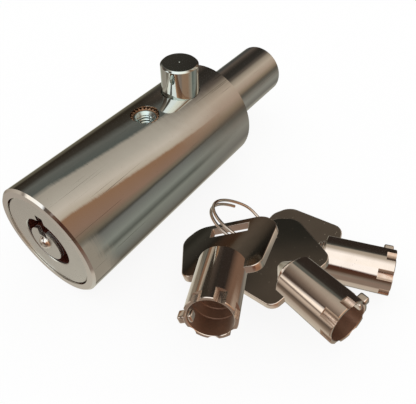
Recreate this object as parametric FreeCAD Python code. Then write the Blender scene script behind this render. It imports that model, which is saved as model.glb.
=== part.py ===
import FreeCAD
import Part
import math
import os
from FreeCAD import Placement, Rotation, Vector

# Cylinder shutter lock with three tubular keys on a split ring. Sizes are in millimetres and
# angles in degrees. The lock's axis is Y, its face looks along -Y and its side bolt along +Z.
# The origin is on the axis, where the barrel's full diameter starts behind the front chamfer.
# Depths named below are measured from the face.

# Barrel
barrel_d = 22.0
barrel_len = 47.0
front_chamfer = 0.4
rear_chamfer = 0.2

# Nose pin
nose_d = 11.7
nose_len = 22.0
nose_chamfer = 0.5
shank_d = 9.0
shank_len = 4.6
bolt_web = 1.31

# Lock cylinder housing
housing_d = 18.7
face_recess = 0.2
face_bevel = 0.25
face_wall = 3.0
relief_len = 2.2
relief_d = 12.6
chamber_d = 13.8

# Keyway, its centre post and the notches for the key's nibs
post_d = 6.9
keyway_d = 9.9
keyway_chamfer = 0.15
post_stand = 0.3
notch_w = 1.7
notch_reach = 6.4
post_notch_w = 1.9
post_notch_floor = 1.9

# Rotor behind the keyway
flange_len = 4.0
spindle_d = 5.8
spindle_round_len = 13.6
drive_square = 4.1
drive_setback = 0.2

# Pin stacks
pin_count = 7
pin_d = 1.0
pin_circle_d = 8.6
pin_cuts = (1.2, 0.6, 1.8, 0.9, 1.5, 0.6, 1.2)
driver_len = 3.2
stator_len = 8.0
stator_floor = 0.6
spring_wall = 0.15

# Pins that lock pieces together
stator_pin_d = 1.6
stator_pin_depth = 1.2
cam_pin_d = 1.5

# Ball in the post's face
ball_d = 2.6
ball_stand = 0.95
ball_offset = 0.35

# Cam
cam_side_gap = 0.35
cam_len = 2.3
hub_d = 8.8
groove_depth = 1.6
turn_range = 180.0
groove_run_on = 6.0
groove_steps = 24

# Side bolt and its follower
bolt_d = 7.38
bolt_to_cam = 1.81
bolt_top = 16.6
bolt_bottom = -2.6
bolt_chamfer = 0.35
bolt_stroke = 5.7
mouth_chamfer = 0.3
follower_d = 1.9
follower_height = 7.3
follower_bury = 2.3

# Threaded insert in the barrel's side, near the housing's rear end
insert_setback = 2.5
insert_d = 5.4
insert_body_d = 4.9
insert_sink = 0.4
insert_len = 3.4
knurl_lift = 0.25
knurl_teeth = 20
knurl_tooth = 0.22
thread_hole_d = 3.3

# Clearances
seat_gap = 0.02
run_gap = 0.05
slide_gap = 0.05
face_gap = 0.08
groove_gap = 0.1
end_gap = 0.4
key_clearance = 0.1

# Keys
key_wall = 0.6
tube_len = 12.0
bore_plug_len = 3.0
key_cut_d = 1.1
nib_w = 1.5
nib_len = 1.8
nib_setback = 0.3
outer_nib_reach = 5.5
inner_nib_reach = 2.95
head_t = 1.4
head_back = 12.0
head_front = 2.2
head_half_back = 6.4
head_half_wide = 9.1
head_half_front = 6.8
head_corner_len = 3.4
head_corner_r = 1.2
stem_len = 3.4
stem_tip_d = 1.7
slot_len = 7.0
slot_w = 2.5
slot_setback = 2.6

# Split ring, its lean and the place where it lies beside the lock
wire_d = 0.6
wire_gap = 0.43
ring_d = 14.6
jog_angle = 50.0
jog_clear = 10.0
ring_ends_at = 100.0
ring_lean = 32.1
ring_lean_toward = 71.1
ring_x = 22.5
ring_y = 28.3
floor_gap = 0.02

# Each key: place on the ring, heading, pitch and roll, with the first one turned over
key_poses = {
    "key_1": (-89.0, -64.9, 14.1, 203.3),
    "key_2": (-40.4, -18.7, 9.0, 10.7),
    "key_3": (1.6, 15.2, 5.6, 9.6),
}

barrel_r = barrel_d / 2
housing_r = housing_d / 2
cam_d = housing_d - 2 * cam_side_gap
insert_top = barrel_r - insert_sink
knurl_len = insert_top - housing_r - knurl_lift
relief_start = face_recess + face_wall
flange_start = relief_start + relief_len
flange_end = flange_start + flange_len
stator_start = flange_end + run_gap
stator_end = stator_start + stator_len
bolt_depth = barrel_len - shank_len - bolt_web - bolt_d / 2
cam_end = bolt_depth - bolt_d / 2 - bolt_to_cam
cam_start = cam_end - cam_len
cavity_end = cam_end + end_gap
housing_end = cam_start - end_gap
insert_depth = housing_end - insert_setback
spindle_end = flange_end + spindle_round_len
drive_end = cam_start - drive_setback
pin_circle_r = pin_circle_d / 2
post_start = face_recess - post_stand
key_bore_d = post_d + 2 * key_clearance
key_d = key_bore_d + 2 * key_wall
wire_pitch = wire_d + wire_gap


def rod(d, start, end, x=0.0, z=0.0):
    """A cylinder along Y between two depths."""
    return Part.makeCylinder(d / 2, end - start, Vector(x, start, z), Vector(0, 1, 0))


def upright(d, depth, low, high):
    """A cylinder along Z through the axis at a depth."""
    return Part.makeCylinder(d / 2, high - low, Vector(0, depth, low), Vector(0, 0, 1))


def cone(d_start, d_end, start, end):
    """A cone along Y between two depths."""
    return Part.makeCone(d_start / 2, d_end / 2, end - start, Vector(0, start, 0), Vector(0, 1, 0))


def block(half_x, start, end, low, high):
    """A box centred on X, between two depths and two heights."""
    return Part.makeBox(2 * half_x, end - start, high - low, Vector(-half_x, start, low))


def chamfered_rod(d, start, end, front=0.0, rear=0.0):
    """A rod along Y with a 45 degree chamfer at either end."""
    shape = rod(d, start + front, end - rear)
    if front:
        shape = shape.fuse(cone(d - 2 * front, d, start, start + front))
    if rear:
        shape = shape.fuse(cone(d, d - 2 * rear, end - rear, end))
    return shape.removeSplitter()


def around(count, first=0.5):
    """Even angles about the Y axis, from +Z toward +X."""
    return [360.0 * (k + first) / count for k in range(count)]


def on_circle(radius, angle):
    """X and Z of a point on a circle about the Y axis."""
    a = math.radians(angle)
    return radius * math.sin(a), radius * math.cos(a)


def barrel():
    """The chromed barrel, bored from the front for the lock cylinder and the cam."""
    shape = chamfered_rod(barrel_d, 0, barrel_len, front_chamfer, rear_chamfer)
    bore_d = housing_d + 2 * face_gap
    shape = shape.cut(rod(bore_d, 0, cavity_end))
    shape = shape.cut(rod(shank_d + 2 * seat_gap, barrel_len - shank_len - seat_gap, barrel_len))
    hole_d = bolt_d + 2 * slide_gap
    shape = shape.cut(upright(hole_d, bolt_depth, bolt_bottom - bolt_stroke - end_gap, barrel_r))
    mouth = Part.makeCone(hole_d / 2, hole_d / 2 + 2 * mouth_chamfer, 2 * mouth_chamfer,
                          Vector(0, bolt_depth, barrel_r - 1.9 * mouth_chamfer), Vector(0, 0, 1))
    shape = shape.cut(mouth)
    reach = follower_d / 2 + groove_gap
    window = block(reach, cavity_end, bolt_depth, follower_height - bolt_stroke - reach,
                   follower_height + reach)
    shape = shape.cut(window)
    return shape.cut(upright(insert_d + 2 * seat_gap, insert_depth, 0, barrel_r))


def nose_pin():
    """The polished nose, pressed into the barrel's rear by its shank."""
    shank = rod(shank_d, barrel_len - shank_len, barrel_len)
    nose = chamfered_rod(nose_d, barrel_len, barrel_len + nose_len, 0, nose_chamfer)
    return shank.fuse(nose).removeSplitter()


def housing():
    """The lock cylinder's housing: face disc, keyway mouth, nib relief and pin chamber."""
    shape = chamfered_rod(housing_d, face_recess, housing_end, face_bevel, face_bevel)
    shape = shape.cut(rod(keyway_d, 0, flange_start))
    mouth = cone(keyway_d + 2 * keyway_chamfer, keyway_d, face_recess, face_recess + keyway_chamfer)
    shape = shape.cut(mouth)
    shape = shape.cut(rod(relief_d, relief_start, flange_start))
    shape = shape.cut(rod(chamber_d, flange_start, housing_end))
    shape = shape.cut(block(notch_w / 2, 0, relief_start, 0, notch_reach))
    shape = shape.cut(upright(insert_body_d + 2 * seat_gap, insert_depth, 0, barrel_r))
    pin_depth = (stator_start + stator_end) / 2
    return shape.cut(upright(stator_pin_d + 2 * seat_gap, pin_depth, -barrel_r, 0))


def pin_holes(start, end):
    """The seven holes for the pin stacks between two depths."""
    d = pin_d + 2 * run_gap
    holes = []
    for angle in around(pin_count):
        x, z = on_circle(pin_circle_r, angle)
        holes.append(rod(d, start, end, x, z))
    return holes


def ball_centre():
    """Centre of the ball, a little towards the notch."""
    return Vector(0, post_start - ball_stand + ball_d / 2, ball_offset)


def rotor():
    """The part that the key turns: notched post, pin flange, spindle and square end."""
    shape = rod(post_d, post_start, flange_end)
    shape = shape.fuse(rod(chamber_d - 2 * run_gap, flange_start + run_gap, flange_end))
    shape = shape.fuse(rod(spindle_d, flange_start + run_gap, spindle_end))
    half = drive_square / 2
    shape = shape.fuse(block(half, spindle_end, drive_end, -half, half))
    shape = shape.cut(block(post_notch_w / 2, post_start, flange_start, post_notch_floor, post_d))
    shape = shape.cut(Part.makeSphere(ball_d / 2 + seat_gap, ball_centre()))
    for hole in pin_holes(flange_start, flange_end):
        shape = shape.cut(hole)
    return shape.cut(cam_pin(seat_gap))


def centre_ball():
    """Hardened ball that stands out of the post's face."""
    return Part.makeSphere(ball_d / 2, ball_centre())


def key_pin(angle, cut):
    """A key pin at the shear line, standing out of the flange as far as its key cut."""
    x, z = on_circle(pin_circle_r, angle)
    return rod(pin_d, flange_start - cut, flange_end, x, z)


def driver_pins():
    """The driver pins behind the shear line."""
    pins = []
    for angle in around(pin_count):
        x, z = on_circle(pin_circle_r, angle)
        pins.append(rod(pin_d, stator_start, stator_start + driver_len, x, z))
    return Part.makeCompound(pins)


def pin_springs():
    """The springs behind the drivers, each as a thin sleeve of the coil's size."""
    springs = []
    start = stator_start + driver_len + seat_gap
    end = stator_end - stator_floor - seat_gap
    for angle in around(pin_count):
        x, z = on_circle(pin_circle_r, angle)
        inner = rod(pin_d - 2 * spring_wall, start, end, x, z)
        springs.append(rod(pin_d, start, end, x, z).cut(inner))
    return Part.makeCompound(springs)


def stator():
    """The fixed pin block, bored for the spindle, the drivers and its own retaining pin."""
    shape = rod(chamber_d - 2 * seat_gap, stator_start, stator_end)
    shape = shape.cut(rod(spindle_d + 2 * run_gap, stator_start, stator_end))
    for hole in pin_holes(stator_start, stator_end - stator_floor):
        shape = shape.cut(hole)
    return shape.cut(stator_pin(seat_gap))


def stator_pin(gap=0.0):
    """Dowel through the housing wall into the stator."""
    top = stator_pin_depth - chamber_d / 2
    depth = (stator_start + stator_end) / 2
    return upright(stator_pin_d + 2 * gap, depth, -housing_r + seat_gap, top + gap)


def cam_pin(gap=0.0):
    """Cross pin that holds the cam on the rotor's square end."""
    half = hub_d / 2 - seat_gap + 2 * gap
    depth = (spindle_end + drive_end) / 2
    start = Vector(-half, depth, 0)
    return Part.makeCylinder(cam_pin_d / 2 + gap, 2 * half, start, Vector(1, 0, 0))


def groove_point(turn, offset):
    """A point of the cam's spiral, moved out across it, for a turn back from rest."""
    rate = bolt_stroke / math.radians(turn_range)
    a = math.radians(-turn)
    radius = follower_height + rate * a
    along = Vector(rate * math.sin(a) + radius * math.cos(a), 0,
                   rate * math.cos(a) - radius * math.sin(a)).normalize()
    across = Vector(-along.z, 0, along.x)
    centre = Vector(radius * math.sin(a), 0, radius * math.cos(a))
    return centre + across * offset


def groove():
    """The spiral groove: the follower moves by an even amount for each degree of turn."""
    half = follower_d / 2 + groove_gap
    first = -groove_run_on
    span = turn_range + 2 * groove_run_on
    turns = [first + span * k / groove_steps for k in range(groove_steps + 1)]
    sides = []
    for offset in (half, -half):
        curve = Part.BSplineCurve()
        curve.interpolate([groove_point(t, offset) for t in turns])
        sides.append(curve.toShape())
    caps = []
    for turn, beyond in ((turns[0], -1), (turns[-1], 1)):
        inner = groove_point(turn, -half)
        outer = groove_point(turn, half)
        middle = groove_point(turn, 0)
        tangent = (outer - inner).normalize().cross(Vector(0, 1, 0))
        tip = middle + tangent * (beyond * half)
        caps.append(Part.Arc(inner, tip, outer).toShape())
    edges = Part.__sortEdges__([sides[0], caps[0], sides[1], caps[1]])
    face = Part.Face(Part.Wire(edges))
    face.translate(Vector(0, cam_end - groove_depth, 0))
    return face.extrude(Vector(0, groove_depth + seat_gap, 0))


def cam():
    """The cam: a hub on the rotor's square end and a disc with the bolt's groove."""
    hub_start = spindle_end + seat_gap
    shape = rod(hub_d, hub_start, cam_start).fuse(rod(cam_d, cam_start, cam_end))
    half = drive_square / 2 + seat_gap
    shape = shape.cut(block(half, hub_start, drive_end + seat_gap, -half, half))
    shape = shape.cut(cam_pin(seat_gap))
    return shape.removeSplitter().cut(groove())


def follower_tip():
    """Depth of the follower's tip, just off the groove's floor."""
    return cam_end - groove_depth + groove_gap


def side_bolt():
    """The side bolt, a plain pin with a chamfered top and a hole for the follower."""
    shape = upright(bolt_d, bolt_depth, bolt_bottom, bolt_top - bolt_chamfer)
    tip = Part.makeCone(bolt_d / 2, bolt_d / 2 - bolt_chamfer, bolt_chamfer,
                        Vector(0, bolt_depth, bolt_top - bolt_chamfer), Vector(0, 0, 1))
    shape = shape.fuse(tip).removeSplitter()
    end = bolt_depth - bolt_d / 2 + follower_bury + seat_gap
    return shape.cut(rod(follower_d + 2 * seat_gap, follower_tip(), end, 0, follower_height))


def follower():
    """The follower, pressed into the bolt and running in the cam's groove."""
    end = bolt_depth - bolt_d / 2 + follower_bury
    return rod(follower_d, follower_tip(), end, 0, follower_height)


def threaded_insert():
    """The insert in the barrel's side: a knurled collar on a plain bush with a threaded hole."""
    points = []
    for k in range(2 * knurl_teeth):
        radius = insert_d / 2 - (knurl_tooth if k % 2 else 0)
        a = math.pi * k / knurl_teeth
        points.append(Vector(radius * math.cos(a), insert_depth + radius * math.sin(a), 0))
    collar = Part.Face(Part.makePolygon(points + points[:1]))
    collar.translate(Vector(0, 0, insert_top - knurl_len))
    shape = collar.extrude(Vector(0, 0, knurl_len))
    low = insert_top - insert_len
    shape = shape.fuse(upright(insert_body_d, insert_depth, low, insert_top - knurl_len))
    return shape.cut(upright(thread_hole_d, insert_depth, low, insert_top))


def key_head():
    """A key's plate with its ring slot and stem, along X with the tube's rear at X = 0."""
    back = -head_back
    outline = [
        (back, head_half_back),
        (back + head_corner_len, head_half_wide),
        (head_front, head_half_front),
        (head_front, -head_half_front),
        (back + head_corner_len, -head_half_wide),
        (back, -head_half_back),
    ]
    points = [Vector(u, v, -head_t / 2) for u, v in outline]
    plate = Part.Face(Part.makePolygon(points + points[:1])).extrude(Vector(0, 0, head_t))
    uprights = [e for e in plate.Edges if abs(e.tangentAt(e.FirstParameter).z) > 0.9]
    plate = plate.makeFillet(head_corner_r, uprights)
    length = Vector(1, 0, 0)
    stem = Part.makeCone(stem_tip_d / 2, key_bore_d / 2 - 3 * seat_gap, stem_len,
                         Vector(-stem_len, 0, 0), length)
    plug = Part.makeCylinder(key_bore_d / 2 - seat_gap, bore_plug_len, Vector(0, 0, 0), length)
    shape = plate.fuse(stem).fuse(plug).removeSplitter()
    slot = Part.makeBox(slot_w, slot_len, 2 * head_t,
                        Vector(back + slot_setback - slot_w / 2, -slot_len / 2, -head_t))
    return shape.cut(slot)


def key_tube():
    """A key's tube: slit at the rear for the plate, with pin cuts and nibs at its open end."""
    length = Vector(1, 0, 0)
    shape = Part.makeCylinder(key_d / 2, tube_len, Vector(0, 0, 0), length)
    nib_start = tube_len - nib_setback - nib_len
    nib = Part.makeBox(nib_len, outer_nib_reach, nib_w, Vector(nib_start, 0, -nib_w / 2))
    shape = shape.fuse(nib)
    bore = Part.makeCylinder(key_bore_d / 2, tube_len, Vector(0, 0, 0), length)
    inner_nib = Part.makeBox(nib_len, key_bore_d / 2, nib_w, Vector(nib_start, 0, -nib_w / 2))
    keep = Part.makeCylinder(inner_nib_reach, tube_len, Vector(0, 0, 0), length)
    shape = shape.cut(bore.cut(inner_nib.cut(keep)))
    slit = Part.makeBox(head_front + seat_gap, 2 * key_d, head_t + 2 * seat_gap,
                        Vector(0, -key_d, -head_t / 2 - seat_gap))
    shape = shape.cut(slit)
    for angle, cut in zip(around(pin_count), pin_cuts):
        z, y = on_circle(pin_circle_r, angle)
        place = Vector(tube_len - cut, y, z)
        shape = shape.cut(Part.makeCylinder(key_cut_d / 2, cut, place, length))
    return shape.removeSplitter()


def ring_frame():
    """The split ring's place: leaning, with its low side on the floor."""
    axis = Vector(-math.sin(math.radians(ring_lean_toward)), math.cos(math.radians(ring_lean_toward)), 0)
    turn = Rotation(axis, ring_lean)
    half = wire_pitch / 2 * math.cos(math.radians(ring_lean)) + wire_d / 2
    rise = ring_d / 2 * math.sin(math.radians(ring_lean)) + half
    return Placement(Vector(ring_x, ring_y, -barrel_r + floor_gap + rise), turn)


def ring_state(angle, height, slope):
    """Point and direction on the ring's round, for a height and a slope along it."""
    a = math.radians(angle)
    point = Vector(ring_d / 2 * math.cos(a), ring_d / 2 * math.sin(a), height)
    heading = Vector(-math.sin(a), math.cos(a), slope).normalize()
    return point, heading


def biarc(start, start_heading, end, end_heading):
    """Two arcs that leave one point and reach another along given headings."""
    chord = end - start
    total = start_heading + end_heading
    bend = 2 * (1 - start_heading.dot(end_heading))
    along = chord.dot(total)
    reach = (-along + math.sqrt(along * along + bend * chord.dot(chord))) / bend
    joint = (start + end + (start_heading - end_heading) * reach) * 0.5
    edges = []
    for point, heading, other in ((start, start_heading, joint), (end, end_heading * -1, joint)):
        edges.append(arc_from(point, heading, other))
    return edges


def arc_from(point, heading, other):
    """The arc that leaves a point along a heading and ends at another point."""
    chord = other - point
    normal = heading.cross(chord)
    side = normal.cross(heading).normalize()
    radius = chord.dot(chord) / (2 * chord.dot(side))
    centre = point + side * radius
    middle = (point + other) * 0.5 - centre
    tip = centre + middle.normalize() * radius
    return Part.Arc(point, tip, other).toShape()


def ring_stops():
    """Angles and heights along the coil: a flat turn, the jog and a second flat turn."""
    low, high = -wire_pitch / 2, wire_pitch / 2
    half = jog_angle / 2
    first = (half + jog_clear, 360 - half)
    second = (360 + half, 720 - half - jog_clear)
    stops = []
    for (start, end), height in ((first, low), (second, high)):
        stops += [(start + (end - start) * k / 4, height) for k in range(5)]
    return [(angle + ring_ends_at, height) for angle, height in stops]


def split_ring():
    """The split ring: one wire in two flat turns joined by a jog."""
    stops = ring_stops()
    edges = []
    for (a0, h0), (a1, h1) in zip(stops, stops[1:]):
        p0, t0 = ring_state(a0, h0, 0)
        p1, t1 = ring_state(a1, h1, 0)
        edges += biarc(p0, t0, p1, t1)
    path = Part.Wire(Part.__sortEdges__(edges))
    start, heading = ring_state(*stops[0], 0)
    profile = Part.Wire(Part.Circle(start, heading, wire_d / 2).toShape())
    shape = path.makePipeShell([profile], True, False)
    points = path.discretize(Number=400)
    step = path.Length / 399
    apart = int(math.pi * wire_d / step) + 1
    gap = min((p - q).Length for i, p in enumerate(points) for q in points[i + apart:]) - wire_d
    print("split ring: wire", round(path.Length, 2), "mm long, least gap to itself", round(gap, 3), "mm")
    shape.Placement = ring_frame().multiply(shape.Placement)
    return shape


def key_frame(place, heading, pitch, roll):
    """A key's place: its slot on the ring, turned by heading, pitch and roll."""
    point, _ = ring_state(place, 0, 0)
    slot = ring_frame().multVec(point)
    sag = slot_len * slot_len / (8 * ring_d)
    turn = Rotation(Vector(0, 0, 1), heading).multiply(Rotation(Vector(0, 1, 0), -pitch))
    turn = turn.multiply(Rotation(Vector(1, 0, 0), roll))
    return Placement(slot, turn).multiply(Placement(Vector(head_back - slot_setback - sag, 0, 0), Rotation()))


def placed(shape, frame):
    """A copy of a shape moved into a frame."""
    copy = shape.copy()
    copy.Placement = frame.multiply(copy.Placement)
    return copy


def all_parts():
    """Every sub-part by name, with depths still measured from the face."""
    parts = {
        "barrel": barrel(),
        "nose_pin": nose_pin(),
        "lock_housing": housing(),
        "rotor": rotor(),
        "centre_ball": centre_ball(),
        "driver_pins": driver_pins(),
        "pin_springs": pin_springs(),
        "stator": stator(),
        "stator_pin": stator_pin(),
        "cam": cam(),
        "cam_pin": cam_pin(),
        "side_bolt": side_bolt(),
        "follower_pin": follower(),
        "threaded_insert": threaded_insert(),
        "split_ring": split_ring(),
    }
    for k, (angle, cut) in enumerate(zip(around(pin_count), pin_cuts)):
        parts["key_pin_" + str(k + 1)] = key_pin(angle, cut)
    head, tube = key_head(), key_tube()
    for name, pose in key_poses.items():
        frame = key_frame(*pose)
        parts[name + "_head"] = placed(head, frame)
        parts[name + "_tube"] = placed(tube, frame)
    return parts


def main():
    os.makedirs("parts", exist_ok=True)
    for name, shape in all_parts().items():
        moved = shape.copy()
        moved.translate(Vector(0, -front_chamfer, 0))
        moved.exportStep("parts/" + name + ".step")
        print(name, "solids", len(shape.Solids), "volume", round(shape.Volume, 2), shape.isValid())


main()
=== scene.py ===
import math

import bpy
from mathutils import Matrix, Vector


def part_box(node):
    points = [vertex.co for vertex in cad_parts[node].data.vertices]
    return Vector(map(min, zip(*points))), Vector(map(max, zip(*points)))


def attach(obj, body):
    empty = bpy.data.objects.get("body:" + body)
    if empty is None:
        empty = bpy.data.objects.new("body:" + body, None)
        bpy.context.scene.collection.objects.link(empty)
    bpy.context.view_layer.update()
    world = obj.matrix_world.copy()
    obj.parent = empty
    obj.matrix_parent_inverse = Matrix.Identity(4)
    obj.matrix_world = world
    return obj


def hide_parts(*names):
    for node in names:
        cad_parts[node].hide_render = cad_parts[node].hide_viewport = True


# A shutter bullet lock with three tubular keys on a split ring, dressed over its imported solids.
# Sizes are written in millimetres, because the pieces are small, and turned to metres at once.
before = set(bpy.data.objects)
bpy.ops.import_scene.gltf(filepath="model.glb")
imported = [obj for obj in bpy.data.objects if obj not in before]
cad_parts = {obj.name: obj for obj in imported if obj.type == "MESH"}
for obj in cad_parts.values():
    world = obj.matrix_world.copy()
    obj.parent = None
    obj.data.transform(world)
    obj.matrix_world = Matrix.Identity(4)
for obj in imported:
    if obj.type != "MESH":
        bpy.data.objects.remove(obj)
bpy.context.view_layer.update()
MM = 0.001


# Barrel. A turned steel tube, chromed and polished, that carries everything else. It is bored
# from the front for the lock cylinder, and cross-drilled for the side bolt and the insert.
barrel_r = 11.0

# Marks that every plated piece shares. Nearly all of a noise lies between its low and its high.
# Scratches are drawn wider than real ones, which would be too fine to show.
noise_low, noise_high = 0.3, 0.7
lay_stretch = 0.03
scratch_w, scratch_len = 0.2, 50 / 3
scratch_slant = (0.1, 0.1, 0.16)
scratch_edge = 0.05
speck_gap = 10 / 9
mark_strength = 0.55


def colour(text):
    """A six digit sRGB hex colour as the linear value that a shader takes."""
    parts = [int(text[k:k + 2], 16) / 255 for k in (0, 2, 4)]
    linear = [p / 12.92 if p < 0.04045 else ((p + 0.055) / 1.055) ** 2.4 for p in parts]
    return tuple(linear) + (1.0,)


def node(tree, kind, inputs=None, **settings):
    """A shader node with its settings, its values and its links."""
    made = tree.nodes.new(kind)
    for key, value in settings.items():
        setattr(made, key, value)
    for socket, value in (inputs or {}).items():
        if isinstance(value, bpy.types.NodeSocket):
            tree.links.new(value, made.inputs[socket])
        else:
            made.inputs[socket].default_value = value
    return made


def plated_metal(name, bright, dull, rough, patch=4.0, lay="Y", rings=(0.5, 1.0),
                 waves=(2.0, 0.5), scratches=0.7, specks=0.0, worn="5c544a", pattern="object"):
    """A plated or ground metal: its tone and gloss vary in patches, tool rings run across the
    lay, slow waves bend what it mirrors, and fine scratches and specks break it. Rings and waves
    are a spacing in millimetres and a depth in thousandths, with the rings drawn a few times as
    coarse as a real tool's, so that they show. The pattern lies on the object, on the key it
    belongs to, or is unrolled from round the lock's axis."""
    material = bpy.data.materials.new(name)
    material.use_nodes = True
    tree = material.node_tree
    shader = tree.nodes["Principled BSDF"]
    shader.inputs["Metallic"].default_value = 1.0
    if pattern == "key":
        place = node(tree, "ShaderNodeAttribute", attribute_name="key_place").outputs["Vector"]
    else:
        place = node(tree, "ShaderNodeTexCoord").outputs["Object"]
    if pattern == "unrolled":
        flat = node(tree, "ShaderNodeSeparateXYZ", {0: place})
        turn = node(tree, "ShaderNodeMath", {0: flat.outputs["X"], 1: flat.outputs["Z"]},
                    operation="ARCTAN2")
        arc = node(tree, "ShaderNodeMath", {0: turn.outputs[0], 1: barrel_r * MM},
                   operation="MULTIPLY")
        place = node(tree, "ShaderNodeCombineXYZ",
                     {"X": arc.outputs[0], "Y": flat.outputs["Y"]}).outputs[0]
    patches = node(tree, "ShaderNodeTexNoise", {"Vector": place, "Scale": 1 / (patch * MM),
                                                "Detail": 4.0, "Roughness": 0.6})
    tone = node(tree, "ShaderNodeMix", {"Factor": patches.outputs["Fac"], "A": colour(bright),
                                        "B": colour(dull)}, data_type="RGBA")
    gloss = node(tree, "ShaderNodeMapRange", {"Value": patches.outputs["Fac"],
                                              "From Min": noise_low, "From Max": noise_high,
                                              "To Min": rough[0], "To Max": rough[1]})
    ring_gap, ring_depth = rings
    spacing = [(1.0 if axis in lay else lay_stretch) / (ring_gap * MM) for axis in "XYZ"]
    across = node(tree, "ShaderNodeMapping", {"Vector": place, "Scale": spacing})
    ring = node(tree, "ShaderNodeTexNoise", {"Vector": across.outputs["Vector"], "Scale": 1.0,
                                             "Detail": 2.0})
    wave_gap, wave_depth = waves
    wave = node(tree, "ShaderNodeTexNoise", {"Vector": place, "Scale": 1 / (wave_gap * MM),
                                             "Detail": 1.0})
    thin, long = 1 / (scratch_w * MM), 1 / (scratch_len * MM)
    hair = node(tree, "ShaderNodeMapping", {"Vector": place, "Rotation": scratch_slant,
                                            "Scale": (thin, long, thin)})
    lines = node(tree, "ShaderNodeTexNoise", {"Vector": hair.outputs["Vector"], "Scale": 1.0,
                                              "Detail": 1.0})
    cuts = node(tree, "ShaderNodeMapRange", {"Value": lines.outputs["Fac"], "From Min": scratches,
                                             "From Max": scratches + scratch_edge})
    pits = node(tree, "ShaderNodeTexVoronoi", {"Vector": place, "Scale": 1 / (speck_gap * MM),
                                               "Randomness": 1.0})
    small = node(tree, "ShaderNodeMath", {0: pits.outputs["Distance"], 1: specks},
                 operation="LESS_THAN")
    marked = node(tree, "ShaderNodeMath", {0: cuts.outputs["Result"], 1: small.outputs[0]},
                  operation="MAXIMUM")
    fade = node(tree, "ShaderNodeMath", {0: marked.outputs[0], 1: mark_strength},
                operation="MULTIPLY")
    spent = node(tree, "ShaderNodeMix", {"Factor": fade.outputs[0], "A": tone.outputs["Result"],
                                         "B": colour(worn)}, data_type="RGBA")
    height = node(tree, "ShaderNodeMath", {0: ring.outputs["Fac"], 1: ring_depth,
                                           2: marked.outputs[0]}, operation="MULTIPLY_ADD")
    height = node(tree, "ShaderNodeMath", {0: wave.outputs["Fac"], 1: wave_depth,
                                           2: height.outputs[0]}, operation="MULTIPLY_ADD")
    bump = node(tree, "ShaderNodeBump", {"Height": height.outputs[0], "Strength": 1.0,
                                         "Distance": 0.001 * MM})
    tree.links.new(spent.outputs["Result"], shader.inputs["Base Color"])
    tree.links.new(gloss.outputs["Result"], shader.inputs["Roughness"])
    tree.links.new(bump.outputs["Normal"], shader.inputs["Normal"])
    return material


def finish_node(name, material):
    """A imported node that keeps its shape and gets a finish."""
    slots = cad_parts[name].data.materials
    for k in range(len(slots)):
        slots[k] = material


# Bright chromium over ground steel, from a plating bath: nearly a mirror, with the grinder's
# rings showing across it.
chromed_barrel = plated_metal("chromed_ground_steel", "e9e9e6", "dedcd6", (0.03, 0.07), 9.0,
                              rings=(0.5, 2.0), waves=(2.2, 9.0), scratches=0.72, specks=0.04,
                              pattern="unrolled")
finish_node("barrel", chromed_barrel)


# Nose pin. A separate turned steel pin, pressed into the barrel's rear. It is chromed and buffed
# brighter than the barrel, so its mirror is cleaner and its rings are shallower.
buffed_chrome = plated_metal("buffed_chrome", "eceeeb", "dfe0dc", (0.03, 0.06), 6.0,
                             rings=(0.4, 0.8), waves=(2.5, 4.0), scratches=0.71, specks=0.03,
                             pattern="unrolled")
finish_node("nose_pin", buffed_chrome)


# Lock cylinder. The housing's faced disc closes the barrel's mouth, and the rotor's notched
# post stands in its keyway. Both are satin nickel plated, so that they shine softly, with the
# tool's rings left in. Deeper than the face, in the keyway, and in a thin ring at the joint round
# the disc, the plate turns a dull brown: painted shade, laid on as old grease.
grease_shade_starts, grease_shade_full = 0.06, 0.22
joint_shade_starts, joint_shade_full = 9.22, 9.28
grease_shade_metal, grease_shade_rough = 0.6, 0.8
satin_plate = plated_metal("satin_nickel_face", "e4e7e3", "dce0dc", (0.26, 0.30), 5.0, lay="XZ",
                           rings=(0.5, 0.1), waves=(2.0, 0.2), scratches=0.74)
tree = satin_plate.node_tree
shader = tree.nodes["Principled BSDF"]
plate_tone = shader.inputs["Base Color"].links[0].from_socket
plate_gloss = shader.inputs["Roughness"].links[0].from_socket
face = node(tree, "ShaderNodeSeparateXYZ", {0: node(tree, "ShaderNodeTexCoord").outputs["Object"]})
x, y, z = (face.outputs[axis] for axis in "XYZ")
# Painted shade: the plate turns brown deeper than its face, in the keyway, and in a thin ring at
# the joint round the disc.
deep_shade = node(tree, "ShaderNodeMapRange", {"Value": y, "From Min": grease_shade_starts * MM,
                                         "From Max": grease_shade_full * MM})
square = node(tree, "ShaderNodeMath", {0: x, 1: x}, operation="MULTIPLY")
square = node(tree, "ShaderNodeMath", {0: z, 1: z, 2: square.outputs[0]}, operation="MULTIPLY_ADD")
out = node(tree, "ShaderNodeMath", {0: square.outputs[0], 1: 0.5}, operation="POWER")
joint_shade = node(tree, "ShaderNodeMapRange", {"Value": out.outputs[0], "From Min": joint_shade_starts * MM,
                                          "From Max": joint_shade_full * MM})
grease_and_shade = node(tree, "ShaderNodeMath", {0: deep_shade.outputs["Result"], 1: joint_shade.outputs["Result"]},
             operation="MAXIMUM").outputs[0]
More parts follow.
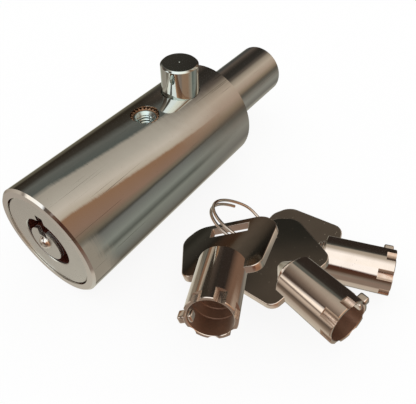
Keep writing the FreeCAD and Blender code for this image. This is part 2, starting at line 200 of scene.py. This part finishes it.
# The painted shade's brown, laid on as old grease, with the plate less metallic and rougher there.
grease_and_shade_tone = node(tree, "ShaderNodeMix", {"Factor": grease_and_shade, "A": plate_tone, "B": colour("5c281a")},
               data_type="RGBA")
grease_and_shade_metallic = node(tree, "ShaderNodeMapRange", {"Value": grease_and_shade, "To Min": 1.0, "To Max": grease_shade_metal})
grease_and_shade_gloss = node(tree, "ShaderNodeMix", {"Factor": grease_and_shade, "A": plate_gloss, "B": grease_shade_rough},
            data_type="FLOAT")
tree.links.new(grease_and_shade_tone.outputs["Result"], shader.inputs["Base Color"])
tree.links.new(grease_and_shade_metallic.outputs["Result"], shader.inputs["Metallic"])
tree.links.new(grease_and_shade_gloss.outputs["Result"], shader.inputs["Roughness"])
finish_node("lock_housing", satin_plate)
finish_node("rotor", satin_plate)


# Ball. A hardened, ground and lapped steel ball, set in the post's face against drilling. It is
# the brightest small mirror of the lock's face.
ball_steel = plated_metal("polished_ball_steel", "f0efec", "dcd9d2", (0.05, 0.10), 1.2,
                          lay="XYZ", rings=(0.6, 0.3))
finish_node("centre_ball", ball_steel)


# Pins. Seven drawn brass key pins in the rotor's flange, and seven brass drivers behind them.
# Brass shines softly and yellow where the plated pieces around it are white.
drawn_brass = plated_metal("drawn_brass", "d8b878", "b8935a", (0.22, 0.34), 1.0,
                           rings=(0.2, 0.5))
pin_count = 7
for name in ["key_pin_" + str(k + 1) for k in range(pin_count)] + ["driver_pins"]:
    finish_node(name, drawn_brass)


# Springs. Each is coiled from hard drawn round wire, open wound, and pushes one driver towards
# its key pin. The drawn wire is bright and keeps a little of the die's lines.
spring_steel = plated_metal("spring_wire_steel", "e6dcd2", "c8bcb0", (0.10, 0.2), 1.0,
                            lay="XYZ", rings=(0.4, 0.3))
springs_low, springs_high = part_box("pin_springs")
pin_circle = 4.3
wire_r, wire_sides = 0.09, 8
coil_r, coil_turns, coil_steps = 0.39, 8, 18
coil_start = springs_low.y / MM + wire_r
coil_pitch = (springs_high.y / MM - wire_r - coil_start) / coil_turns
bpy.ops.object.select_all(action="DESELECT")
bpy.ops.mesh.primitive_circle_add(vertices=wire_sides, radius=wire_r * MM, fill_type="NOTHING")
coil = bpy.context.object
bpy.ops.object.mode_set(mode="EDIT")
bpy.ops.mesh.select_all(action="SELECT")
bpy.ops.transform.translate(value=(coil_r * MM, 0, 0))
bpy.ops.object.mode_set(mode="OBJECT")
winding = coil.modifiers.new("winding", "SCREW")
winding.axis = "Y"
winding.screw_offset = coil_pitch * MM
winding.iterations = coil_turns
winding.steps = winding.render_steps = coil_steps
bpy.ops.object.modifier_apply(modifier=winding.name)
bpy.ops.object.mode_set(mode="EDIT")
bpy.ops.mesh.select_all(action="SELECT")
bpy.ops.mesh.fill_holes(sides=wire_sides)
bpy.ops.mesh.normals_make_consistent(inside=False)
bpy.ops.object.mode_set(mode="OBJECT")
bpy.ops.object.shade_smooth_by_angle(angle=math.radians(50.0))
coil.data.materials.append(spring_steel)
for k in range(pin_count):
    a = 2 * math.pi * (k + 0.5) / pin_count
    seat = Vector((pin_circle * math.sin(a), coil_start, pin_circle * math.cos(a))) * MM
    piece = bpy.data.objects.new("pin_coil_%d" % (k + 1), coil.data.copy())
    bpy.context.scene.collection.objects.link(piece)
    piece.data.transform(Matrix.Translation(seat))
    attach(piece, "lock_body")
    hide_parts("pin_springs")
bpy.data.objects.remove(coil)


# Stator and cam. Zinc castings that never show: the fixed pin block, and the disc whose spiral
# groove draws the bolt in. The castings are grey and dull, and the ground steel pins that hold
# them are smoother.
cast_zinc = plated_metal("cast_zinc", "b8bcba", "9aa09e", (0.36, 0.5), 1.5, lay="XYZ",
                         rings=(0.5, 4.0))
ground_pin = plated_metal("ground_steel_pin", "d0d0cc", "b8b8b2", (0.18, 0.28), 1.0, lay="Z",
                          rings=(0.2, 0.5))
finish_node("stator", cast_zinc)
finish_node("cam", cast_zinc)
for name in ("stator_pin", "cam_pin", "follower_pin"):
    finish_node(name, ground_pin)


# Side bolt. A plain chromed pin, which the cam draws into the barrel. Its top is faced off and
# keeps the dot of the lathe's centre, and its edge is broken by a small bevel. The bath leaves
# this pin a little bluer than the barrel.
bolt_edge, bolt_foot_edge = 0.34, 0.3
centre_r, centre_deep = 0.15, 0.1


def turned(name, along, base, stops, hollow=False, sides=64):
    """A turned shape round a line along an axis: a circle drawn out from stop to stop, each a
    place on the line and a radius."""
    along, base = Vector(along), Vector(base)
    place, radius = stops[0]
    bpy.ops.object.select_all(action="DESELECT")
    bpy.ops.mesh.primitive_circle_add(vertices=sides, radius=radius * MM,
                                      fill_type="NOTHING" if hollow else "NGON",
                                      location=(base + along * place) * MM,
                                      rotation=along.to_track_quat("Z", "Y").to_euler())
    piece = bpy.context.object
    piece.name = name
    bpy.ops.object.mode_set(mode="EDIT")
    for next_place, next_radius in stops[1:]:
        step = along * (next_place - place) * MM
        bpy.ops.mesh.extrude_region_move(TRANSFORM_OT_translate={"value": step})
        ratio = next_radius / radius
        bpy.ops.transform.resize(value=[1.0 if part else ratio for part in along],
                                 center_override=(base + along * next_place) * MM)
        place, radius = next_place, next_radius
    bpy.ops.mesh.select_all(action="SELECT")
    bpy.ops.mesh.remove_doubles(threshold=0.002 * MM)
    bpy.ops.mesh.normals_make_consistent(inside=False)
    bpy.ops.object.mode_set(mode="OBJECT")
    bpy.ops.object.transform_apply(location=True, rotation=True, scale=True)
    return piece


def bevelled(piece, width, rounds=2, over=35.0):
    """Breaks a piece's sharp edges, and keeps its flat faces flat in the light."""
    bpy.ops.object.select_all(action="DESELECT")
    piece.select_set(True)
    bpy.context.view_layer.objects.active = piece
    bevel = piece.modifiers.new("broken_edges", "BEVEL")
    bevel.width = width * MM
    bevel.segments = rounds
    bevel.limit_method = "ANGLE"
    bevel.angle_limit = math.radians(over)
    bpy.ops.object.modifier_apply(modifier=bevel.name)
    bpy.ops.object.shade_smooth_by_angle(angle=math.radians(over))
    flat = piece.modifiers.new("flat_faces", "WEIGHTED_NORMAL")
    flat.keep_sharp = True
    bpy.ops.object.modifier_apply(modifier=flat.name)


bolt_chrome = plated_metal("cool_bright_chrome", "dde6e3", "ccd6d3", (0.03, 0.06), 3.0, lay="Z",
                           rings=(0.4, 0.5), waves=(1.8, 4.0), scratches=0.71, specks=0.03)
bolt_low, bolt_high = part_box("side_bolt")
bolt_y = (bolt_low.y + bolt_high.y) / 2 / MM
bolt_r = (bolt_high.x - bolt_low.x) / 2 / MM
bolt_top = bolt_high.z / MM
bolt_bottom = bolt_low.z / MM
bolt_pin = turned("bolt_pin", (0, 0, 1), (0, bolt_y, 0), [
    (bolt_top - centre_deep, 0.04), (bolt_top, centre_r), (bolt_top, 0.4),
    (bolt_top, bolt_r - 0.5), (bolt_top, bolt_r - bolt_edge), (bolt_top - bolt_edge, bolt_r),
    (bolt_bottom + bolt_foot_edge, bolt_r), (bolt_bottom, bolt_r - bolt_foot_edge)], sides=96)
bevelled(bolt_pin, 0.03, over=20.0)
bolt_pin.data.materials.append(bolt_chrome)
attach(bolt_pin, "bolt")
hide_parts("side_bolt")


# Threaded insert. A steel bush, blue zinc plated and cut with a fine thread, under a knurled
# collar whose teeth bite the barrel's wall. The collar is copper flashed and mottled brown, and
# the thread shines pale blue.
plated_bush = plated_metal("copper_flashed_knurl", "b4947a", "745a44", (0.22, 0.4), 0.7,
                           lay="Z", rings=(0.2, 1.0), waves=(0.6, 6.0), specks=0.1)
zinc_thread = plated_metal("blue_zinc_plate", "dfeceb", "b4c8c6", (0.16, 0.26), 0.8, lay="Z",
                           rings=(0.3, 0.4))
insert_low, insert_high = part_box("threaded_insert")
insert_y = (insert_low.y + insert_high.y) / 2 / MM
insert_r = (insert_high.x - insert_low.x) / 2 / MM
insert_top = insert_high.z / MM
insert_bottom = insert_low.z / MM
collar_teeth, collar_h, collar_clear = 22, 1.0, 0.02
tooth_in, tooth_drop = 0.9, 0.12
bush_r, mouth_r, mouth_deep = 2.44, 2.1, 0.34
collar_foot = insert_top - collar_h
collar = turned("insert_collar", (0, 0, 1), (0, insert_y, 0), [
    (collar_foot, bush_r), (collar_foot, insert_r - collar_clear),
    (insert_top - 0.1, insert_r - collar_clear), (insert_top, insert_r - 0.16),
    (insert_top - 0.02, insert_r - 0.3), (insert_top - mouth_deep, mouth_r + collar_clear),
    (collar_foot, mouth_r + collar_clear), (collar_foot, bush_r)],
    hollow=True, sides=4 * collar_teeth)
bpy.ops.object.mode_set(mode="EDIT")
bpy.ops.mesh.select_all(action="DESELECT")
bpy.ops.object.mode_set(mode="OBJECT")
# Two of every four columns of points are drawn in, and so leave a tooth between two gaps.
for point in collar.data.vertices:
    across, back = point.co.x / MM, point.co.y / MM - insert_y
    column = round(math.degrees(math.atan2(back, across)) * collar_teeth * 4 / 360)
    point.select = math.hypot(across, back) > insert_r - 0.4 and column % 4 in (0, 1)
bpy.ops.object.mode_set(mode="EDIT")
bpy.ops.transform.resize(value=(tooth_in, tooth_in, 1.0),
                         center_override=Vector((0, insert_y, insert_top)) * MM)
bpy.ops.transform.translate(value=(0, 0, -tooth_drop * MM))
bpy.ops.mesh.select_all(action="SELECT")
bpy.ops.mesh.normals_make_consistent(inside=False)
bpy.ops.object.mode_set(mode="OBJECT")
bevelled(collar, 0.02, rounds=1)
collar.data.materials.append(plated_bush)

# The thread is turned as separate rings, at a pitch coarse enough to show.
thread_pitch, thread_turns, thread_start = 0.62, 4, 0.78
crest_r, root_r = 1.38, 1.62
body_r, body_start = 2.4, 1.06
thread_stops = [(insert_bottom, body_r), (insert_top - body_start, body_r),
                (insert_top - body_start, mouth_r), (insert_top - mouth_deep, mouth_r),
                (insert_top - 0.28, mouth_r - 0.1), (insert_top - 0.36, mouth_r - 0.3),
                (insert_top - thread_start, crest_r + 0.12)]
for k in range(thread_turns):
    top = insert_top - thread_start - k * thread_pitch
    thread_stops += [(top - 0.06, crest_r), (top - 0.14, crest_r), (top - 0.33, root_r),
                     (top - 0.40, root_r), (top - 0.56, crest_r)]
thread_stops += [(insert_bottom, crest_r), (insert_bottom, body_r)]
thread = turned("insert_thread", (0, 0, 1), (0, insert_y, 0), thread_stops, hollow=True,
                sides=96)
bevelled(thread, 0.02, rounds=1)
thread.data.materials.append(zinc_thread)
for piece, finish in ((collar, "copper"), (thread, "zinc")):
    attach(piece, "lock_body")
    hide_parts("threaded_insert")


# Split ring. Hard drawn spring wire, nickel plated, coiled twice round and ground at its ends.
# The lock doesn't mirror it, as in the photograph.
finish_node("split_ring", spring_steel)
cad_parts["split_ring"].visible_glossy = False


# Key heads. Blanked from sheet steel, nickel plated to a dark mirror, with bright sheared edges.
# The dark of the plates' faces is dark plating and, in part, painted dark reflection.
# Each has a slot for the ring and a turned, grooved stem that is pressed into the tube.
head_back, head_front, head_t = -12.0, 2.2, 1.4
head_corners = [(head_back, 6.4), (head_back + 3.4, 9.1), (head_front, 6.8)]
corner_r = 1.5
slot_at, slot_w, slot_len = -9.4, 2.5, 7.0
bore_r, tube_r = 3.55, 4.15
stem_r, stem_end = bore_r - 0.06, 2.9

# Dark nickel is a brown-black mirror with pale specks of dust; its dark colour is dark plating and
# painted dark reflection. Bright nickel is a warm white one that shows the tool's rings round the
# stem and the tube.
dark_nickel_and_reflection = plated_metal("dark_nickel_painted_reflection", "746b63", "625a52", (0.06, 0.12),
                           rings=(0.4, 0.3), waves=(3.0, 3.0), scratches=0.9, specks=0.07,
                           worn="d8cdc0", pattern="key")
bright_nickel = plated_metal("bright_nickel", "efe4da", "dccfc3", (0.05, 0.11), 2.5, lay="X",
                             rings=(0.3, 0.8), waves=(2.0, 3.0), scratches=0.74, specks=0.025,
                             pattern="key")


def cut_away(piece, cutter, operation="DIFFERENCE"):
    """Cuts one piece with another, or joins them, and removes the other."""
    bpy.ops.object.select_all(action="DESELECT")
    piece.select_set(True)
    bpy.context.view_layer.objects.active = piece
    cut = piece.modifiers.new("cut", "BOOLEAN")
    cut.operation = operation
    cut.solver = "EXACT"
    cut.material_mode = "TRANSFER"
    cut.object = cutter
    bpy.ops.object.modifier_apply(modifier=cut.name)
    bpy.data.objects.remove(cutter)


def brick(name, low, high):
    """A box between two corners, for a cut or a lug."""
    low, high = Vector(low) * MM, Vector(high) * MM
    bpy.ops.object.select_all(action="DESELECT")
    bpy.ops.mesh.primitive_cube_add(size=1.0, location=(low + high) / 2)
    piece = bpy.context.object
    piece.name = name
    bpy.ops.object.mode_set(mode="EDIT")
    bpy.ops.transform.resize(value=high - low, center_override=(low + high) / 2)
    bpy.ops.object.mode_set(mode="OBJECT")
    bpy.ops.object.transform_apply(location=True, rotation=True, scale=True)
    return piece


# The blank: a plate cut to its six corners, which are rounded, then given its thickness, its
# slot and its broken edges.
widest = 2.0 * head_corners[1][1]
middle = (head_back + head_front) / 2 * MM
bpy.ops.object.select_all(action="DESELECT")
bpy.ops.mesh.primitive_plane_add(size=widest * MM, location=(0, 0, -head_t / 2 * MM))
head = bpy.context.object
head.name = "plate_pattern"
bpy.ops.object.transform_apply(location=True, rotation=True, scale=True)
bpy.ops.object.mode_set(mode="EDIT")
bpy.ops.mesh.select_all(action="SELECT")
bpy.ops.transform.translate(value=(middle, 0, 0))
bpy.ops.transform.resize(value=((head_front - head_back) / widest, 1, 1),
                         center_override=(middle, 0, 0))
for side in (1, -1):
    for (u0, v0), (u1, v1) in zip(head_corners, head_corners[1:]):
        bpy.ops.mesh.select_all(action="SELECT")
        bpy.ops.mesh.bisect(plane_co=(u0 * MM, side * v0 * MM, 0),
                            plane_no=Vector((v0 - v1, side * (u1 - u0), 0)).normalized(),
                            clear_outer=True)
bpy.ops.mesh.select_all(action="SELECT")
bpy.ops.mesh.remove_doubles(threshold=0.002 * MM)
bpy.ops.mesh.bevel(offset=corner_r * MM, offset_type="OFFSET", affect="VERTICES", segments=6)
bpy.ops.mesh.select_all(action="SELECT")
bpy.ops.mesh.extrude_region_move(TRANSFORM_OT_translate={"value": (0, 0, head_t * MM)})
bpy.ops.mesh.select_all(action="SELECT")
bpy.ops.mesh.normals_make_consistent(inside=False)
bpy.ops.object.mode_set(mode="OBJECT")
slot_cut = brick("slot_cut", (slot_at - slot_w / 2, -slot_len / 2, -head_t),
                 (slot_at + slot_w / 2, slot_len / 2, head_t))
slot_cut.data.materials.append(bright_nickel)
head.data.materials.append(dark_nickel_and_reflection)
head.data.materials.append(bright_nickel)
cut_away(head, slot_cut)
bevelled(head, 0.16, rounds=3)
# Flat faces take the dark nickel, whose colour holds painted dark reflection, and the edges the
# bright nickel.
for face in head.data.polygons:
    face.material_index = 0 if abs(face.normal.z) > 0.99 else 1

# The stem: a blunt cone, two grooved collars, the part inside the tube, and a dished end.
stem = turned("stem_pattern", (1, 0, 0), (0, 0, 0), [
    (-3.4, 0.6), (-3.2, 0.98), (-1.35, 2.42), (-1.2, 2.7), (-0.95, 2.75), (-0.9, 2.6),
    (-0.75, 2.6), (-0.7, 2.95), (-0.45, 3.0), (-0.4, 2.85), (-0.25, 2.85), (-0.2, stem_r),
    (stem_end, stem_r), (stem_end + 0.02, 2.2), (stem_end - 0.15, 1.9), (stem_end - 0.15, 0.8),
    (stem_end + 0.05, 0.5)], sides=48)
bevelled(stem, 0.04, rounds=1, over=25.0)
stem.data.materials.append(bright_nickel)


# Key tubes. Drawn brass tube, nickel plated outside, with seven milled half-round pin cuts at
# the mouth. A lug inside and one outside guide it in the keyway, and its far end is slit for
# the head.
tube_len = 12.0
cut_circle, cut_r = 4.76, 1.17
pin_cuts = (2.2, 1.6, 2.6, 1.8, 2.4, 1.6, 2.2)
lug_len, lug_half, lug_edge, lug_back = 1.7, 0.7, 0.3, 2.1
lug_inside, lug_outside = 2.95, 5.3
slit_clear = 0.02
bore_metal = 0.35

# The mill leaves bare brass in its cuts, warmer and duller than the plating. The bore is brass
# gone brown with tarnish, which hardly mirrors, and its brown is also painted shade inside the
# tube.
milled_cut = plated_metal("milled_nickel_brass", "e6dad0", "c8a488", (0.2, 0.34), 0.7, lay="X",
                          rings=(0.2, 1.0), pattern="key")
tarnished_and_shaded_bore = plated_metal("tarnished_brass_bore_painted_shade", "86604a", "644634", (0.3, 0.45), 1.6,
                              lay="X", rings=(0.5, 6.0), scratches=0.78, worn="8a6c58",
                              pattern="key")
tarnished_and_shaded_bore.node_tree.nodes["Principled BSDF"].inputs["Metallic"].default_value = bore_metal
tube = turned("tube_pattern", (1, 0, 0), (0, 0, 0), [
    (0.0, bore_r), (0.0, tube_r - 0.12), (0.12, tube_r), (tube_len - 0.1, tube_r),
    (tube_len, tube_r - 0.1), (tube_len, bore_r + 0.08), (tube_len - 0.08, bore_r),
    (8.6, bore_r), (8.5, bore_r - 0.16), (6.6, bore_r - 0.16), (6.5, bore_r - 0.34),
    (4.6, bore_r - 0.34), (4.5, bore_r - 0.5), (3.0, bore_r - 0.5), (3.0, bore_r),
    (0.0, bore_r)], hollow=True, sides=96)
for material in (bright_nickel, tarnished_and_shaded_bore, milled_cut):
    tube.data.materials.append(material)
# The bore's faces take the tarnish with its painted shade.
for face in tube.data.polygons:
    reach = math.hypot(face.center.y, face.center.z) / MM
    face.material_index = 1 if reach < bore_r + 0.02 else 0
lug_start = tube_len - lug_back
for name, low, high in (("outer_lug", tube_r - 0.2, lug_outside),
                        ("inner_lug", lug_inside, bore_r + 0.1)):
    lug = brick(name, (lug_start, low, -lug_half), (lug_start + lug_len, high, lug_half))
    rounding = lug.modifiers.new("rounded_corners", "BEVEL")
    rounding.width = lug_edge * MM
    rounding.segments = 3
    bpy.ops.object.modifier_apply(modifier=rounding.name)
    lug.data.materials.append(bright_nickel)
    cut_away(tube, lug, "UNION")
for k, depth in enumerate(pin_cuts):
    a = 2 * math.pi * (k + 0.5) / len(pin_cuts)
    mill = turned("pin_cut", (1, 0, 0), (0, cut_circle * math.cos(a), cut_circle * math.sin(a)),
                  [(tube_len - depth, cut_r), (tube_len + 1.0, cut_r)], sides=24)
    mill.data.materials.append(milled_cut)
    cut_away(tube, mill)
slit_half = head_t / 2 + slit_clear
slit = brick("plate_slit", (-1.0, -6.0, -slit_half), (head_front + slit_clear, 6.0, slit_half))
slit.data.materials.append(bright_nickel)
cut_away(tube, slit)
bevelled(tube, 0.05)


# Keys on their ring. Each key hangs by its slot on the leaning ring, at a place round it, and
# is turned by its own heading, pitch and roll. Every plate, stem and tube is a copy of one
# pattern, which carries its own places along for the finish.
ring_r = 7.3
ring_lean, ring_lean_toward = 32.1, 71.1
ring_x, ring_y, ring_z = 22.5, 27.9, -6.3645
slot_reach = 8.9805
key_poses = {"key_1": (-89.0, -64.9, 14.1, 203.3), "key_2": (-40.4, -18.7, 9.0, 10.7),
             "key_3": (1.6, 15.2, 5.6, 9.6)}
toward = math.radians(ring_lean_toward)
ring_tip = Matrix.Rotation(math.radians(ring_lean), 4,
                           Vector((-math.sin(toward), math.cos(toward), 0)))
ring_place = Matrix.Translation(Vector((ring_x, ring_y, ring_z)) * MM) @ ring_tip
for key, angles in key_poses.items():
    place, heading, pitch, roll = (math.radians(angle) for angle in angles)
    hang = ring_place @ (Vector((math.cos(place), math.sin(place), 0)) * ring_r * MM)
    turn = (Matrix.Rotation(heading, 4, "Z") @ Matrix.Rotation(-pitch, 4, "Y")
            @ Matrix.Rotation(roll, 4, "X"))
    out = Matrix.Translation(Vector((slot_reach, 0, 0)) * MM)
    lie = Matrix.Translation(hang) @ turn @ out
    for pattern, suffix, cad in ((head, "_plate", "_head"), (stem, "_stem", "_head"),
                                 (tube, "_shell", "_tube")):
        mesh = pattern.data.copy()
        places = mesh.attributes.new("key_place", "FLOAT_VECTOR", "POINT")
        places.data.foreach_set("vector", [part for point in mesh.vertices for part in point.co])
        piece = bpy.data.objects.new(key + suffix, mesh)
        bpy.context.scene.collection.objects.link(piece)
        bpy.ops.object.select_all(action="DESELECT")
        piece.matrix_world = lie
        piece.select_set(True)
        bpy.context.view_layer.objects.active = piece
        bpy.ops.object.transform_apply(location=True, rotation=True, scale=True)
        piece.visible_glossy = False
        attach(piece, key)
        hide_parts(key + cad)
for pattern in (head, stem, tube):
    bpy.data.objects.remove(pattern)


# Floor. A plain sheet of matt white board under the lock. The camera sees it bright, as the
# photograph's white ground is, and it still takes the lock's shadow. Metal reflects the room
# around it instead.
floor_size, floor_bright = 4.0, 0.88
bpy.ops.object.select_all(action="DESELECT")
bpy.ops.mesh.primitive_plane_add(size=floor_size, location=(0, 0, -barrel_r * MM))
floor = bpy.context.object
floor.name = "floor"
floor.visible_glossy = False
white_sheet = bpy.data.materials.new("white_sheet")
white_sheet.use_nodes = True
tree = white_sheet.node_tree
sheet = tree.nodes["Principled BSDF"]
sheet.inputs["Base Color"].default_value = colour("ffffff")
sheet.inputs["Roughness"].default_value = 0.8
seen = node(tree, "ShaderNodeLightPath").outputs["Is Camera Ray"]
lit = node(tree, "ShaderNodeMath", {0: seen, 1: floor_bright}, operation="MULTIPLY")
glow = node(tree, "ShaderNodeEmission", {"Color": colour("ffffff"), "Strength": 1.0})
both = node(tree, "ShaderNodeMixShader", {0: lit.outputs[0], 1: sheet.outputs[0],
                                          2: glow.outputs[0]})
tree.links.new(both.outputs[0], tree.nodes["Material Output"].inputs["Surface"])
floor.data.materials.append(white_sheet)


# Room. The metal shows a photographer's room: a window overhead that is brightest in front, warm
# wood to the right, a dark corner to the upper left and grey cloth low down. The camera sees a
# white background instead.
room_bright = 1.25
world = bpy.data.worlds.new("room")
bpy.context.scene.world = world
world.use_nodes = True
tree = world.node_tree
tree.nodes.clear()
axes = node(tree, "ShaderNodeSeparateXYZ",
            {0: node(tree, "ShaderNodeTexCoord").outputs["Generated"]})
x, y, z = (axes.outputs[axis] for axis in "XYZ")
angle = node(tree, "ShaderNodeMath", {0: x, 1: z}, operation="ARCTAN2")
round_axis = node(tree, "ShaderNodeMath", {0: angle.outputs[0], 1: 1 / (2 * math.pi), 2: 0.5},
                  operation="MULTIPLY_ADD").outputs[0]
sideways = node(tree, "ShaderNodeMath", {0: x, 1: 0.5, 2: 0.5},
                operation="MULTIPLY_ADD").outputs[0]

# The window's light leans: it lies further to the right the further back it is. The lean fades
# out at the window's left and right, and the card by the barrel's mouth stands at the low right.
# Each of the three is given by the degrees from overhead at which it is gone and full.
sides = []
for gone_at, full_at in ((-100, -60), (88, 55), (74, 86)):
    side = node(tree, "ShaderNodeMapRange", {"Value": round_axis, "From Min": 0.5 + gone_at / 360,
                                             "From Max": 0.5 + full_at / 360})
    sides.append(side.outputs["Result"])
left_part, right_part, low_right = sides
window_part = node(tree, "ShaderNodeMath", {0: left_part, 1: right_part}, operation="MINIMUM")
lean = node(tree, "ShaderNodeMapRange", {"Value": y, "From Min": 0.36, "From Max": 0.64,
                                         "To Min": 10 / 360, "To Max": -22 / 360})
leaning = node(tree, "ShaderNodeMath", {0: lean.outputs["Result"], 1: window_part.outputs[0],
                                        2: round_axis}, operation="MULTIPLY_ADD").outputs[0]

# The room's parts, each laid over the ones before it: the measure that its colours are spread
# along, that measure's whole width, where along the lock's axis the part fades in, the side it
# keeps to, and its colours. These stand at degrees round the axis from overhead, or, high
# behind, at shares of the way to the right.
room_parts = [
    # The middle: the leaning window, wood to its right and cloth low down.
    (leaning, 360, None, None, [
        (-180, "565046"), (-150, "c8c4b8"), (-126, "b2b0a4"), (-116, "5a5546"), (-105, "5c574a"),
        (-94, "2a241c"), (-70, "36322c"), (-54, "5c5d58"), (-32, "505450"), (-25, "9c958a"),
        (0, "aaa398"), (20, "beb4a8"), (33, "b2a696"), (38, "886850"), (66, "866c5c"),
        (78, "6e6456"), (84, "44423c"), (89, "686864"), (110, "7e817a"), (123, "565852"),
        (132, "7c7e76"), (158, "6c6c66"), (180, "565046")]),
    # The rear, where the light falls off.
    (round_axis, 360, (0.58, 0.68), None, [
        (-180, "8c887e"), (-150, "8e8a80"), (-119, "6c6c62"), (-100, "3c3c3a"), (-84, "4a4642"),
        (-70, "564c44"), (-58, "443c36"), (-44, "2a2622"), (-16, "322e2a"), (0, "5c524a"),
        (10, "8c8072"), (32, "b0a090"), (56, "a08c7c"), (72, "80705e"), (83, "5c5248"),
        (92, "5a564e"), (106, "767068"), (126, "827f77"), (158, "6c6862"), (180, "8c887e")]),
    # A warm pale card by the barrel's mouth, which ends the grey cloth there.
    (round_axis, 360, (0.375, 0.345), low_right, [(-180, "8e867a"), (180, "8e867a")]),
    # High behind, where the upright key mirrors it: dark cloth, wood, a lit wall and a panel.
    (sideways, 2, (0.78, 0.84), None, [
        (-0.02, "2c2622"), (0.22, "70594a"), (0.3, "70594a"), (0.42, "d8ccbc"),
        (0.46, "d8ccbc"), (0.56, "786858")]),
    # The front: the window at its brightest, with wood to the right.
    (round_axis, 360, (0.3, -0.05), None, [
        (-180, "b8b4aa"), (-160, "bcb6aa"), (-138, "a49a90"), (-118, "8e8276"), (-84, "b4aa9e"),
        (-68, "5c4e46"), (-52, "463c36"), (-42, "74685e"), (-24, "beb2a6"), (-14, "ffffff"),
        (34, "fffaf0"), (60, "c09878"), (104, "8a6650"), (132, "907460"), (156, "b8aca0"),
        (180, "b8b4aa")]),
    # Low in front, a bright sheet with the dark edge of the table under the lens.
    (round_axis, 360, (-0.5, -0.6), None, [
        (-180, "847a70"), (-154, "a89c90"), (-132, "766a5e"), (-114, "544a42"),
        (-102, "a89c90"), (-88, "c4b8ac"), (-78, "5c5048"), (-71, "fff6ea"), (-42, "ffffff"),
        (-35, "544a42"), (-20, "46403a"), (-12, "ffffff"), (36, "ffffff"), (46, "c09070"),
        (66, "84604a"), (106, "66483a"), (140, "84746a"), (180, "847a70")]),
    # Under the lens, the shade of the stand.
    (round_axis, 360, (-0.86, -0.91), None, [
        (-180, "a09a90"), (-40, "7c6658"), (20, "46281e"), (90, "503c30"), (180, "a09a90")]),
]
room = None
for measure, width, fade_in, side, stops in room_parts:
    ramp = node(tree, "ShaderNodeValToRGB", {"Fac": measure})
    bands = ramp.color_ramp
    bands.interpolation = "LINEAR"
    for k, (place, shade) in enumerate(stops):
        position = place / width + 0.5
        stop = bands.elements[k] if k < 2 else bands.elements.new(position)
        stop.position = position
        stop.color = colour(shade)
    if room is None:
        room = ramp.outputs["Color"]
        continue
    shown = node(tree, "ShaderNodeMapRange", {"Value": y, "From Min": fade_in[0],
                                              "From Max": fade_in[1]}).outputs["Result"]
    if side is not None:
        shown = node(tree, "ShaderNodeMath", {0: shown, 1: side}, operation="MULTIPLY").outputs[0]
    room = node(tree, "ShaderNodeMix", {"Factor": shown, "A": room, "B": ramp.outputs["Color"]},
                data_type="RGBA").outputs["Result"]
in_metal = node(tree, "ShaderNodeLightPath").outputs["Is Glossy Ray"]
mirrored = node(tree, "ShaderNodeBackground", {"Color": room, "Strength": room_bright})
plain = node(tree, "ShaderNodeBackground", {"Color": colour("ffffff"), "Strength": 1.0})
choice = node(tree, "ShaderNodeMixShader", {0: in_metal, 1: plain.outputs[0],
                                            2: mirrored.outputs[0]})
node(tree, "ShaderNodeOutputWorld", {"Surface": choice.outputs[0]})


# Camera. It stands in front of the lock, to its right and above it, as the photograph's does.
# Its place, its three directions and its lens were fitted to the outlines in the photograph.
camera_data = bpy.data.cameras.new("camera")
camera = bpy.data.objects.new("camera", camera_data)
bpy.context.scene.collection.objects.link(camera)
bpy.context.scene.camera = camera
right = Vector((0.81209, 0.58346, 0.00926))
down = Vector((0.43046, -0.58828, -0.68456))
forward = Vector((-0.39397, 0.55992, -0.72889))
stand = Vector((51.110, -25.139, 63.525)) * MM
facing = Matrix((right, -down, -forward)).transposed().to_4x4()
camera.matrix_world = Matrix.Translation(stand) @ facing
camera_data.sensor_width = 36.0
camera_data.lens = 40.894
camera_data.shift_x = -0.0035
camera_data.shift_y = 0.0008
camera_data.clip_start = 0.005
camera_data.clip_end = 20.0

bpy.context.scene.view_settings.view_transform = "Standard"
